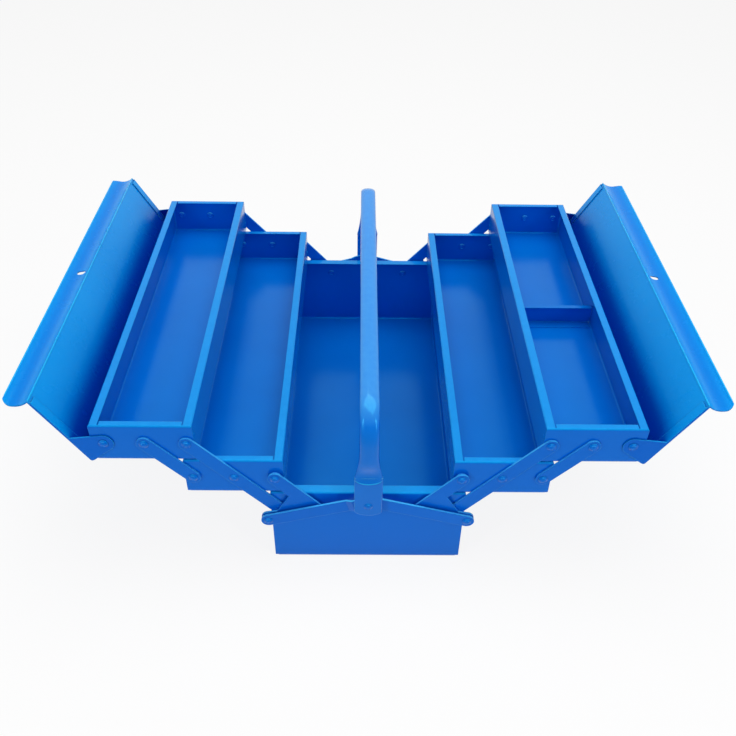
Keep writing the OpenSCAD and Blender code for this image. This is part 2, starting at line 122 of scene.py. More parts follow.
class Wiring:
    """Adds and joins the shader nodes of one tree."""

    def __init__(self, tree: bpy.types.NodeTree) -> None:
        """Empties the tree and keeps the two calls that fill it.

        Args:
            tree: The node tree to fill.
        """
        tree.nodes.clear()
        self.add, self.join = tree.nodes.new, tree.links.new

    def math(self, operation: str, *terms: bpy.types.NodeSocket | float) -> bpy.types.NodeSocket:
        """Adds a Math node.

        Args:
            operation: What it does with its terms.
            terms: Sockets or plain numbers.

        Returns:
            The result.
        """
        node = self.add("ShaderNodeMath")
        node.operation = operation
        for term, socket in zip(terms, node.inputs):
            if isinstance(term, float):
                socket.default_value = term
            else:
                self.join(term, socket)
        return node.outputs["Value"]

    def ramp(self, value: bpy.types.NodeSocket, span: tuple[float, float] = (0.0, 1.0),
             low: float = 0.0, high: float = 1.0, soft: bool = False) -> bpy.types.NodeSocket:
        """Maps a span of values to another, and holds it at its ends.

        Args:
            value: What is mapped.
            span: The values that become low and high.
            low: The result at the span's start.
            high: The result at its end.
            soft: Whether the ramp eases in and out.

        Returns:
            The mapped value.
        """
        node = self.add("ShaderNodeMapRange")
        if soft:
            node.interpolation_type = "SMOOTHSTEP"
        sizes = {"From Min": span[0], "From Max": span[1], "To Min": low, "To Max": high}
        for word, size in sizes.items():
            node.inputs[word].default_value = size
        self.join(value, node.inputs["Value"])
        return node.outputs["Result"]

    def clouds(self, place: bpy.types.NodeSocket, clouds: Clouds) -> bpy.types.NodeSocket:
        """Adds noise.

        Args:
            place: The coordinates it reads.
            clouds: Its size.

        Returns:
            The noise, from 0 to 1.
        """
        node = self.add("ShaderNodeTexNoise")
        node.inputs["Scale"].default_value = clouds.scale
        node.inputs["Detail"].default_value = clouds.detail
        self.join(place, node.inputs["Vector"])
        return node.outputs["Fac"]

    def blend(self, share: bpy.types.NodeSocket, under: bpy.types.NodeSocket | tuple[float, ...],
              over: tuple[float, ...]) -> bpy.types.NodeSocket:
        """Lays one colour over another.

        Args:
            share: How much of the upper colour shows.
            under: The lower colour, as a socket or a plain colour.
            over: The upper colour.

        Returns:
            The blended colour.
        """
        node = self.add("ShaderNodeMix")
        node.data_type = "RGBA"
        node.inputs[MIX_OVER].default_value = (*over, 1.0)
        if isinstance(under, tuple):
            node.inputs[MIX_UNDER].default_value = (*under, 1.0)
        else:
            self.join(under, node.inputs[MIX_UNDER])
        self.join(share, node.inputs[0])
        return node.outputs[MIX_RESULT]

    def parts(self, vector: bpy.types.NodeSocket) -> bpy.types.bpy_prop_collection:
        """Splits a vector into its X, Y and Z sockets."""
        node = self.add("ShaderNodeSeparateXYZ")
        self.join(vector, node.inputs["Vector"])
        return node.outputs

    def seen_ray(self) -> bpy.types.NodeSocket:
        """Tells rays of the camera and of mirrors, at 1, from all others."""
        path = self.add("ShaderNodeLightPath")
        return self.math("MAXIMUM", path.outputs["Is Camera Ray"], path.outputs["Is Glossy Ray"])


DRIFT, GLOSS_CLOUDS = Clouds(9.0, 3.0), Clouds(55.0, 4.0)
WEAR_AND_SHEEN_CLOUDS, PEEL = Clouds(140.0, 2.0), Clouds(420.0, 1.0)
DRIFT_SPAN = (0.3, 0.7)
END_FACE_SPAN = (0.6, 0.9)
TOP_FACE_SPAN = (0.45, 0.75)
PAINTED_SHADE_SPAN = (0.95, 0.45)
EDGE_SPAN = (0.985, 0.8)
RIM_PATCH_SPAN = (0.2, 0.8)
RIM_LEAST = 0.75
VALLEY_CORE = 0.15
VALLEY_SHARE = 0.8
PEEL_DEPTH = 0.4 * MM
PAINTED_SHADE_SAMPLES = 8
EDGE_SAMPLES = 6


@dataclass(frozen=True)
class Enamel:
    """Sprayed and baked enamel on sheet steel.

    The colour drifts slightly over a hand's width, the gloss varies in finer
    clouds, and the surface has the low ripple of sprayed paint. Along the sheet's
    edges the colour is paler: rubbed paint with a painted highlight. Light and
    shade are painted into the colour too: painted shade in inner corners, on faces
    that look along the box and in the lid's valley, and painted sheen on upward
    faces and on the rims, where it mixes with rubbing.
    """

    name: str
    colour: tuple[float, float, float]
    deep: tuple[float, float, float]
    # Paler tone for rubbed edges with a painted highlight, and for painted sheen.
    worn: tuple[float, float, float]
    # Darker tone for painted shade in inner corners.
    nook: tuple[float, float, float] = (0.0, 0.060, 0.48)
    roughness: float = 0.3
    roughness_swing: float = 0.06
    index: float = 1.5
    specular: float = 0.5
    edge_radius: float = 0.8 * MM
    # Strength of the paler edges: rubbed paint with a painted highlight.
    wear: float = 0.7
    ripple: float = 0.06
    # Strength and reach of the painted shade in inner corners.
    hollow: float = 0.0
    hollow_reach: float = 50.0 * MM
    # Painted sheen with rubbing, above a line just under the rim or the bar's top.
    rim_height: float = -1.0
    rim_depth: float = 1.2 * MM
    rim_soft: float = 0.2 * MM
    rim_pale: float = 0.5
    # Painted shade: faces that look along the box take a darker copy of the paint.
    end_tone: tuple[float, float, float] | None = None
    # Painted sheen: upward faces drawn paler, as if lit from above.
    top_pale: float = 0.0
    # Painted shade: a darker band along the valley of the lid's flange.
    valley_x: float = -1.0
    valley_half: float = 11.0 * MM
    valley_tone: tuple[float, float, float] = (0.0, 0.190, 0.700)
    whole_shade: bool = False
    tint: tuple[float, float, float] = (1.0, 1.0, 1.0)

    def build(self) -> bpy.types.Material:
        """Makes the node material.

        Returns:
            The material, ready for a slot.
        """
        material = bpy.data.materials.new(self.name)
        material.use_nodes = True
        wires = Wiring(material.node_tree)
        out = wires.add("ShaderNodeOutputMaterial")
        paint = wires.add("ShaderNodeBsdfPrincipled")
        paint.inputs["IOR"].default_value = self.index
        paint.inputs["Specular IOR Level"].default_value = self.specular
        paint.inputs["Specular Tint"].default_value = (*self.tint, 1.0)
        wires.join(paint.outputs["BSDF"], out.inputs["Surface"])

        source = wires.add("ShaderNodeTexCoord")
        place, normal = source.outputs["Object"], wires.parts(source.outputs["Normal"])
        rounded = wires.add("ShaderNodeBevel")
        rounded.samples = EDGE_SAMPLES
        rounded.inputs["Radius"].default_value = self.edge_radius
        # Paler colour on edges, upward faces and rims: partly rubbed paint, partly painted
        # highlight and sheen.
        worn = self.wear_share(wires, place, normal, rounded.outputs["Normal"])
        skin = wires.blend(worn, self.coat_colour(wires, place, normal), self.worn)
        wires.join(skin, paint.inputs["Base Color"])
        gloss = wires.ramp(
            wires.clouds(place, GLOSS_CLOUDS),
            low=self.roughness - self.roughness_swing, high=self.roughness + self.roughness_swing,
        )
        wires.join(gloss, paint.inputs["Roughness"])

        bump = wires.add("ShaderNodeBump")
        bump.inputs["Strength"].default_value = self.ripple
        bump.inputs["Distance"].default_value = PEEL_DEPTH
        wires.join(wires.clouds(place, PEEL), bump.inputs["Height"])
        wires.join(rounded.outputs["Normal"], bump.inputs["Normal"])
        wires.join(bump.outputs["Normal"], paint.inputs["Normal"])
        return material

    def coat_colour(self, wires: Wiring, place: bpy.types.NodeSocket,
                    normal: bpy.types.bpy_prop_collection) -> bpy.types.NodeSocket:
        """Mixes the sound paint's colour: its drift, and the painted shade on faces
        that look along the box, in the lid's valley and in inner corners.

        Args:
            wires: The finish's tree.
            place: Its coordinates.
            normal: The face's direction, in parts.

        Returns:
            The colour.
        """
        drift = wires.ramp(wires.clouds(place, DRIFT), DRIFT_SPAN)
        body = wires.blend(drift, self.deep, self.colour)
        # Painted shade: faces that look along the box take a darker copy of the paint.
        if self.end_tone:
            ends = wires.ramp(wires.math("ABSOLUTE", normal["Y"]), END_FACE_SPAN)
            body = wires.blend(ends, body, self.end_tone)
        # Painted shade: a darker band along the valley of the lid's flange.
        if self.valley_x > 0.0:
            across = wires.math("ABSOLUTE", wires.parts(place)["X"])
            away = wires.math("ABSOLUTE", wires.math("SUBTRACT", across, self.valley_x))
            span = (self.valley_half, VALLEY_CORE * self.valley_half)
            body = wires.blend(
                wires.ramp(away, span, high=VALLEY_SHARE, soft=True), body, self.valley_tone,
            )
        # Painted shade: inner corners, and on the lids the trays' painted shadow, darkened where
        # ambient occlusion finds them closed in.
        if self.hollow:
            nook = wires.add("ShaderNodeAmbientOcclusion")
            nook.only_local = not self.whole_shade
            nook.samples = PAINTED_SHADE_SAMPLES
            nook.inputs["Distance"].default_value = self.hollow_reach
            shade = wires.ramp(nook.outputs["AO"], PAINTED_SHADE_SPAN, high=self.hollow)
            body = wires.blend(shade, body, self.nook)
        return body

    def wear_share(self, wires: Wiring, place: bpy.types.NodeSocket,
                   normal: bpy.types.bpy_prop_collection,
                   rounded: bpy.types.NodeSocket) -> bpy.types.NodeSocket:
        """Finds where the colour is paler: rubbed edges with a painted highlight,
        upward faces with a painted sheen, and rims with a painted sheen and rubbing.

        Args:
            wires: The finish's tree.
            place: Its coordinates.
            normal: The face's direction, in parts.
            rounded: The normal with the edges rounded.

        Returns:
            How pale the colour is there.
        """
        # Edges: rubbed paint with a painted highlight along them.
        flat = wires.add("ShaderNodeNewGeometry")
        turn = wires.add("ShaderNodeVectorMath")
        turn.operation = "DOT_PRODUCT"
        wires.join(rounded, turn.inputs[0])
        wires.join(flat.outputs["Normal"], turn.inputs[1])
        edge = wires.ramp(turn.outputs["Value"], EDGE_SPAN, high=self.wear)
        patchy = wires.clouds(place, WEAR_AND_SHEEN_CLOUDS)
        amount = wires.math("MULTIPLY", edge, patchy)
        # Painted sheen: upward faces drawn paler, as if lit from above.
        if self.top_pale:
            upward = wires.ramp(normal["Z"], TOP_FACE_SPAN, high=self.top_pale)
            amount = wires.math("MAXIMUM", amount, upward)
        # Painted sheen with rubbing: everything above a line just under the rim or the bar's top is
        # drawn paler in patches.
        if self.rim_height > 0.0:
            line = self.rim_height - self.rim_depth
            above = wires.ramp(
                wires.parts(place)["Z"], (line - self.rim_soft, line + self.rim_soft),
            )
            share = wires.ramp(
                patchy, RIM_PATCH_SPAN, low=RIM_LEAST * self.rim_pale, high=self.rim_pale,
            )
            amount = wires.math("MAXIMUM", amount, wires.math("MULTIPLY", above, share))
        return amount


CYAN_GLOSS = (0.0, 0.9, 1.0)

# The body's rims take painted sheen with rubbing, its end faces painted shade, and its inner
# corners a little painted shade.
BODY_ENAMEL = Enamel(
    "body_enamel", colour=(0.0, 0.160, 0.640), deep=(0.0, 0.140, 0.590), worn=(0.01, 0.34, 0.84),
    nook=(0.0, 0.070, 0.560), roughness=0.2, specular=0.4, tint=CYAN_GLOSS, hollow=0.2, wear=1.1,
    end_tone=(0.0, 0.138, 0.725), rim_pale=0.6,
)
# The lids' paint is the body's drawn lighter, a painted light for the lamp on their inner faces;
# their end faces take a painted shade, and ambient occlusion over all parts paints the trays'
# shadow on them.
LID_ENAMEL = Enamel(
    "lid_enamel", colour=(0.0, 0.335, 0.880), deep=(0.0, 0.305, 0.840), worn=(0.04, 0.57, 0.96),
    nook=(0.0, 0.020, 0.340), roughness=0.26, specular=0.22, tint=CYAN_GLOSS, wear=1.6,
    hollow=0.95, hollow_reach=52.0 * MM, whole_shade=True, end_tone=(0.0, 0.130, 0.700),
)
# The arms' upward faces take a painted sheen.
ARM_ENAMEL = Enamel(
    "arm_enamel", colour=(0.0, 0.140, 0.730), deep=(0.0, 0.120, 0.680), worn=(0.05, 0.46, 0.94),
    roughness=0.24, specular=0.36, tint=CYAN_GLOSS, wear=1.7, top_pale=0.9,
)
# The handle's shoulder dishes take painted shade, and its bar's top painted sheen with rubbing.
HANDLE_ENAMEL = Enamel(
    "handle_enamel", colour=(0.0, 0.150, 0.730), deep=(0.0, 0.130, 0.690), worn=(0.09, 0.44, 0.82),
    nook=(0.0, 0.020, 0.360), roughness=0.07, roughness_swing=0.02, ripple=0.015, specular=0.6,
    tint=(0.1, 0.85, 1.0), wear=2.0, hollow=0.9, hollow_reach=12.0 * MM, rim_soft=6.0 * MM,
)
# The rivets' upward faces take a painted sheen.
RIVET_ENAMEL = Enamel(
    "rivet_enamel", colour=(0.0, 0.130, 0.720), deep=(0.0, 0.110, 0.670), worn=(0.05, 0.48, 0.95),
    roughness=0.13, specular=0.6, tint=CYAN_GLOSS, edge_radius=0.3 * MM, wear=0.6, top_pale=0.8,
)

# Paler paint on the beads along the lids' ridges and edges and on the handle's lips: a painted
# highlight.
BEAD_HIGHLIGHT_ENAMEL = replace(
    LID_ENAMEL, name="bead_enamel", colour=(0.02, 0.47, 0.92), deep=(0.01, 0.43, 0.90),
    end_tone=None, whole_shade=False, hollow=0.0,
)

RIM_SAMPLES = {
    "base_box": "base_box", "middle_tray": "right_middle_tray", "top_tray": "right_top_tray",
}
# How far under the bar's top, and how strongly, the bar is drawn paler: painted sheen with rubbing.
BAR_DEPTH, BAR_WEAR_AND_SHEEN = 9.2 * MM, 0.45
# Where the lid's painted valley shade runs, in from its edge.
VALLEY_IN = 11.0 * MM
BASE_BEND, TRAY_BEND = 3.5 * MM, 3.0 * MM


# ---------------------------------------------------------------- studio


@dataclass
class PhotoCamera:
    """The camera that took the reference view, placed in the model's frame."""

    place: tuple[float, float, float] = (-10.26 * MM, -777.19 * MM, 733.92 * MM)
    down: float = math.radians(39.8426)
    yaw: float = math.radians(0.8128)
    roll: float = math.radians(-0.9583)
    focal_px: float = 816.969
    frame_px: float = 736.0
    sensor: float = 36.0

    def build(self) -> bpy.types.Object:
        """Makes the camera and hands it to the scene.

        Returns:
            The camera object.
        """
        ahead = Vector((
            math.sin(self.yaw) * math.cos(self.down),
            math.cos(self.yaw) * math.cos(self.down),
            -math.sin(self.down),
        ))
        level = Vector((math.cos(self.yaw), -math.sin(self.yaw), 0.0))
        below = ahead.cross(level)
        right = math.cos(self.roll) * level + math.sin(self.roll) * below
        under = -math.sin(self.roll) * level + math.cos(self.roll) * below
        data = bpy.data.cameras.new("photo_camera")
        data.sensor_fit = "HORIZONTAL"
        data.sensor_width = self.sensor
        data.lens = self.focal_px / self.frame_px * self.sensor
        camera = bpy.data.objects.new("photo_camera", data)
        bpy.context.scene.collection.objects.link(camera)
        turn = Matrix((right, -under, -ahead)).transposed().to_4x4()
        camera.matrix_world = Matrix.Translation(Vector(self.place)) @ turn
        bpy.context.scene.camera = camera
        return camera


@dataclass(frozen=True)
class SoftBox:
    """One rectangular studio lamp."""

    name: str
    place: tuple[float, float, float]
    aim: tuple[float, float, float]
    size: tuple[float, float]
    watts: float

    def build(self) -> bpy.types.Object:
        """Makes the lamp.

        Returns:
            The lamp object.
        """
        data = bpy.data.lights.new(self.name, "AREA")
        data.shape = "RECTANGLE"
        data.size, data.size_y = self.size
        data.energy = self.watts
        lamp = bpy.data.objects.new(self.name, data)
        bpy.context.scene.collection.objects.link(lamp)
        facing = Vector(self.aim) - Vector(self.place)
        turn = facing.to_track_quat("-Z", "Y").to_matrix().to_4x4()
        lamp.matrix_world = Matrix.Translation(Vector(self.place)) @ turn
        return lamp


@dataclass
class Studio:
    """Pale floor, white surround and soft lamps."""

    floor_size: float = 12.0
    surround: float = 0.3
    paper: float = 0.86
    paper_white: float = 0.88
    lamps: Sequence[SoftBox] = field(default_factory=lambda: (
        SoftBox("ceiling_box", (0.12, 0.15, 1.7), (0.0, 0.0, 0.1), (1.8, 1.4), 23.0),
        SoftBox("left_box", (-1.25, -1.3, 1.0), (0.0, 0.0, 0.1), (0.055, 0.9), 6.2),
        SoftBox("right_box", (1.25, -1.3, 1.0), (0.0, 0.0, 0.1), (0.055, 0.9), 6.2),
    ))

    def build(self) -> None:
        """Makes the floor, the surround and the lamps."""
        self.make_world()
        self.make_floor()
        for lamp in self.lamps:
            lamp.build()

    def make_world(self) -> None:
        """Sets an even surround that looks white."""
        world = bpy.data.worlds.new("surround")
        bpy.context.scene.world = world
        world.use_nodes = True
        wires = Wiring(world.node_tree)
        out = wires.add("ShaderNodeOutputWorld")
        glow = wires.add("ShaderNodeBackground")
        glow.inputs["Color"].default_value = WHITE
        level = wires.ramp(wires.seen_ray(), low=self.surround)
        wires.join(level, glow.inputs["Strength"])
        wires.join(glow.outputs["Background"], out.inputs["Surface"])

    def make_floor(self) -> None:
        """Lays the floor at the height of the box's underside."""
        half = self.floor_size / 2
        mesh = bpy.data.meshes.new("studio_floor")
        sides = ((-half, -half), (half, -half), (half, half), (-half, half))
        mesh.from_pydata([(x, y, 0.0) for x, y in sides], [], [(0, 1, 2, 3)])
        floor = bpy.data.objects.new("studio_floor", mesh)
        bpy.context.scene.collection.objects.link(floor)
        material = bpy.data.materials.new("studio_paper")
        material.use_nodes = True
        wires = Wiring(material.node_tree)
        out = wires.add("ShaderNodeOutputMaterial")
        paper = wires.add("ShaderNodeBsdfDiffuse")
        paper.inputs["Color"].default_value = (self.paper, self.paper, self.paper, 1.0)
        white = wires.add("ShaderNodeEmission")
        white.inputs["Color"].default_value = WHITE
        mix = wires.add("ShaderNodeMixShader")
        wires.join(wires.math("MULTIPLY", wires.seen_ray(), self.paper_white), mix.inputs["Fac"])
        wires.join(paper.outputs["BSDF"], mix.inputs[1])
        wires.join(white.outputs["Emission"], mix.inputs[2])
        wires.join(mix.outputs["Shader"], out.inputs["Surface"])
        mesh.materials.append(material)


# ---------------------------------------------------------------- the box


def dress(node: bpy.types.Object, material: bpy.types.Material) -> None:
    """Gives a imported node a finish.

    Args:
        node: The node's object.
        material: The finish.
    """
    if not node.data.materials:
        node.data.materials.append(material)
    for slot in node.material_slots:
        slot.material = material


def add_piece(name: str, mesh: bpy.types.Mesh, body: str) -> bpy.types.Object:
    """Puts a finished mesh into the scene and hangs it on its body.

    Args:
        name: The piece's name.
        mesh: Its mesh, in the model's frame.
        body: The body it rides on.

    Returns:
        The piece.
    """
    work = bmesh.new()
    work.from_mesh(mesh)
    bmesh.ops.remove_doubles(work, verts=work.verts, dist=MERGE)
    bmesh.ops.recalc_face_normals(work, faces=work.faces)
    work.to_mesh(mesh)
    work.free()
    piece = bpy.data.objects.new(name, mesh)
    bpy.context.scene.collection.objects.link(piece)
    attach(piece, body)
    log.info("made %s on %s, %d faces", name, body, len(mesh.polygons))
    return piece


def smooth(mesh: bpy.types.Mesh, sharp: float) -> bpy.types.Mesh:
    """Shades a mesh smooth and keeps its real edges sharp.

    Args:
        mesh: The mesh.
        sharp: Angle in degrees from which an edge stays sharp.

    Returns:
        The same mesh.
    """
    for face in mesh.polygons:
        face.use_smooth = True
    mesh.set_sharp_from_angle(angle=math.radians(sharp))
    return mesh


@dataclass(frozen=True)
class Spot:
    """A place on a face, and the way that face looks."""

    place: tuple[float, float, float]
    facing: tuple[float, float, float]


@dataclass(frozen=True)
class PunchMark:
    """Ring and centre dot that a punch leaves, set at many places by Geometry Nodes."""

    ring: float
    wire: float
    dot: float
    sides: int = 20
    wire_sides: int = 8
    dot_segments: int = 12
    dot_rings: int = 6
    dot_height: float = 0.35

    def make_tree(self, material: bpy.types.Material) -> bpy.types.NodeTree:
        """Builds the node tree that sets one mark on each point.

        Args:
            material: The finish of the marks.

        Returns:
            The tree, with the mark's sizes as its inputs.
        """
        tree = bpy.data.node_groups.new("punch_marks", "GeometryNodeTree")
        face = tree.interface
        face.new_socket("Points", in_out="INPUT", socket_type="NodeSocketGeometry")
        for word in ("Ring Radius", "Wire Radius", "Dot Radius"):
            face.new_socket(word, in_out="INPUT", socket_type="NodeSocketFloat")
        face.new_socket("Marks", in_out="OUTPUT", socket_type="NodeSocketGeometry")
        add, join = tree.nodes.new, tree.links.new
        start, end = add("NodeGroupInput"), add("NodeGroupOutput")

        ring = add("GeometryNodeCurvePrimitiveCircle")
        ring.inputs["Resolution"].default_value = self.sides
        join(start.outputs["Ring Radius"], ring.inputs["Radius"])
        wire = add("GeometryNodeCurvePrimitiveCircle")
        wire.inputs["Resolution"].default_value = self.wire_sides
        join(start.outputs["Wire Radius"], wire.inputs["Radius"])
        rim = add("GeometryNodeCurveToMesh")
        join(ring.outputs["Curve"], rim.inputs["Curve"])
        join(wire.outputs["Curve"], rim.inputs["Profile Curve"])
        dot = add("GeometryNodeMeshUVSphere")
        dot.inputs["Segments"].default_value = self.dot_segments
        dot.inputs["Rings"].default_value = self.dot_rings
        join(start.outputs["Dot Radius"], dot.inputs["Radius"])
        low = add("GeometryNodeTransform")
        low.inputs["Scale"].default_value = (1.0, 1.0, self.dot_height)
        join(dot.outputs["Mesh"], low.inputs["Geometry"])
        mark = add("GeometryNodeJoinGeometry")
        join(rim.outputs["Mesh"], mark.inputs["Geometry"])
        join(low.outputs["Geometry"], mark.inputs["Geometry"])

        facing = add("GeometryNodeInputNamedAttribute")
        facing.data_type = "FLOAT_VECTOR"
        facing.inputs["Name"].default_value = "facing"
        turn = add("FunctionNodeAlignRotationToVector")
        turn.axis = "Z"
        join(facing.outputs["Attribute"], turn.inputs["Vector"])
        copies = add("GeometryNodeInstanceOnPoints")
        join(start.outputs["Points"], copies.inputs["Points"])
        join(mark.outputs["Geometry"], copies.inputs["Instance"])
        join(turn.outputs["Rotation"], copies.inputs["Rotation"])
        real = add("GeometryNodeRealizeInstances")
        join(copies.outputs["Instances"], real.inputs["Geometry"])
        smooth = add("GeometryNodeSetShadeSmooth")
        join(real.outputs["Geometry"], smooth.inputs["Geometry"])
        finish = add("GeometryNodeSetMaterial")
        finish.inputs["Material"].default_value = material
        join(smooth.outputs["Geometry"], finish.inputs["Geometry"])
        join(finish.outputs["Geometry"], end.inputs["Marks"])
        return tree

    def build(self, name: str, spots: Sequence[Spot],
              material: bpy.types.Material) -> bpy.types.Mesh:
        """Makes the marks at their places.

        Args:
            name: Name of the mesh.
            spots: Where the marks go.
            material: The finish of the marks.

        Returns:
            One plain mesh with all the marks.
        """
        points = bpy.data.meshes.new(name + "_points")
        points.from_pydata([spot.place for spot in spots], [], [])
        facing = points.attributes.new("facing", "FLOAT_VECTOR", "POINT")
        for index, spot in enumerate(spots):
            facing.data[index].vector = spot.facing
        holder = bpy.data.objects.new(name + "_points", points)
        bpy.context.scene.collection.objects.link(holder)
        tree = self.make_tree(material)
        modifier = holder.modifiers.new("marks", "NODES")
        modifier.node_group = tree
        sizes = {"Ring Radius": self.ring, "Wire Radius": self.wire, "Dot Radius": self.dot}
        for item in tree.interface.items_tree:
            if item.in_out == "INPUT" and item.name in sizes:
                modifier[item.identifier] = sizes[item.name]
        graph = bpy.context.evaluated_depsgraph_get()
        mesh = bpy.data.meshes.new_from_object(holder.evaluated_get(graph))
        mesh.name = name
        holder.modifiers.clear()
        bpy.data.objects.remove(holder)
        bpy.data.meshes.remove(points)
        bpy.data.node_groups.remove(tree)
        return mesh


@dataclass
class RivetMarks:
    """Punch marks on the rivets' domes and on their formed ends inside the walls."""

    node: bpy.types.Object
    body: str
    dome_mark: PunchMark = PunchMark(ring=2.7 * MM, wire=0.4 * MM, dot=1.0 * MM)
    dome_drop: float = 0.65 * MM
    axis_reach: float = 0.3 * MM
    tip_band: float = 0.01 * MM
    sort_digits: int = 5

    def solids(self) -> list[list[Vector]]:
        """Sorts the node's points into its separate rivets.

        Returns:
            The points of each rivet.
        """
        work = bmesh.new()
        work.from_mesh(self.node.data)
        bmesh.ops.remove_doubles(work, verts=work.verts, dist=MERGE)
        left = set(work.verts)
        groups = []
        while left:
            todo, group = [left.pop()], []
            while todo:
                vert = todo.pop()
                group.append(vert.co.copy())
                for edge in vert.link_edges:
                    other = edge.other_vert(vert)
                    if other in left:
                        left.remove(other)
                        todo.append(other)
            groups.append(group)
        work.free()
        groups.sort(key=lambda group: tuple(
            round(value, self.sort_digits) for value in min(tuple(point) for point in group)
        ))
        return groups

    def spots(self) -> list[Spot]:
        """Finds the two ends of each rivet that carry a mark.

        Returns:
            The marks' places, half sunk into the rivet.
        """
        found = []
        for group in self.solids():
            middle_x = (min(p.x for p in group) + max(p.x for p in group)) / 2
            middle_z = (min(p.z for p in group) + max(p.z for p in group)) / 2
            out = 1.0 if sum(p.y for p in group) > 0 else -1.0
            tip = max(p.y * out for p in group)
            domed = any(
                p.y * out > tip - self.tip_band
                and math.hypot(p.x - middle_x, p.z - middle_z) < self.axis_reach
                for p in group
            )
            if domed:
                dome = (middle_x, (tip - self.dome_drop) * out, middle_z)
                found.append(Spot(dome, (0.0, out, 0.0)))
            root = min(p.y * out for p in group)
            if self.node.name.endswith(("base_rivets", "middle_rivets", "top_rivets")):
                found.append(Spot((middle_x, root * out, middle_z), (0.0, -out, 0.0)))
        return found

    def build(self, material: bpy.types.Material) -> None:
        """Makes the marks of this node's rivets.

        Args:
            material: The rivets' enamel.
        """
        name = self.node.name + "_marks"
        marks = self.dome_mark.build(name, self.spots(), material)
        add_piece(name, marks, self.body)


@dataclass
class OpenBox:
    """One folded box: the paint that fills its inner seams, and its spot welds."""

    name: str
    body: str
    bend: float
    sheet: float = 1.0 * MM
    fillet: float = 1.7 * MM
    sink: float = 0.25 * MM
    weld: PunchMark = PunchMark(ring=1.9 * MM, wire=0.22 * MM, dot=1.3 * MM)
    weld_in: float = 6.0 * MM
    weld_rows: int = 2
    seam_steps: int = 5

    def seam(self, work: bmesh.types.BMesh, start: Vector, end: Vector, side_a: Vector,
             side_b: Vector) -> None:
        """Adds the hollow fillet of paint along one inner seam.

        Args:
            work: The mesh under construction.
            start: One end of the seam.
            end: The seam's other end.
            side_a: Unit vector from the seam along one sheet.
            side_b: Unit vector from the seam along the other sheet.
        """
        profile = [
            -self.sink * (side_a + side_b),
            self.fillet * side_a - self.sink * side_b,
        ]
        for index in range(self.seam_steps + 1):
            angle = index / self.seam_steps * math.pi / 2
            profile.append(
                self.fillet * ((1 - math.sin(angle)) * side_a + (1 - math.cos(angle)) * side_b)
            )
        profile.append(self.fillet * side_b - self.sink * side_a)
        rings = [
            [work.verts.new(point + offset) for offset in profile] for point in (start, end)
        ]
        count = len(profile)
        for index in range(count):
            after = (index + 1) % count
            work.faces.new((rings[0][index], rings[0][after], rings[1][after], rings[1][index]))
        work.faces.new(rings[0])
        work.faces.new(rings[1][::-1])

    def build(self, enamel: bpy.types.Material) -> None:
        """Makes the seams and the welds.

        Args:
            enamel: The box's finish.
        """
        low, high = (Vector(corner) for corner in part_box(self.name))
        floor = low.z + self.sheet
        top = high.z - self.sheet
        work = bmesh.new()
        for end in End:
            wall = (high.y - self.sheet) if end is End.FAR else (low.y + self.sheet)
            inward = Vector((0.0, -float(end.value), 0.0))
            left, right = low.x + self.bend, high.x - self.bend
            self.seam(
                work, Vector((left, wall, floor)), Vector((right, wall, floor)), inward,
                Vector((0.0, 0.0, 1.0)),
            )
            for edge, toward in ((low.x + self.sheet, 1.0), (high.x - self.sheet, -1.0)):
                self.seam(
                    work, Vector((edge, wall, floor + self.bend)), Vector((edge, wall, top)),
                    inward, Vector((toward, 0.0, 0.0)),
                )
        mesh = bpy.data.meshes.new(self.name + "_seams")
        work.to_mesh(mesh)
        work.free()
        mesh.materials.append(enamel)
        add_piece(self.name + "_seams", smooth(mesh, TRIM_SHARP), self.body)

        spots = []
        for edge, facing in ((low.x, -1.0), (high.x, 1.0)):
            for end in (low.y + self.weld_in, high.y - self.weld_in):
                for row in range(self.weld_rows):
                    height = low.z + (row + 1) / (self.weld_rows + 1) * (high.z - low.z)
                    spots.append(Spot((edge, end, height), (facing, 0.0, 0.0)))
        name = self.name + "_welds"
        add_piece(name, self.weld.build(name, spots, enamel), self.body)


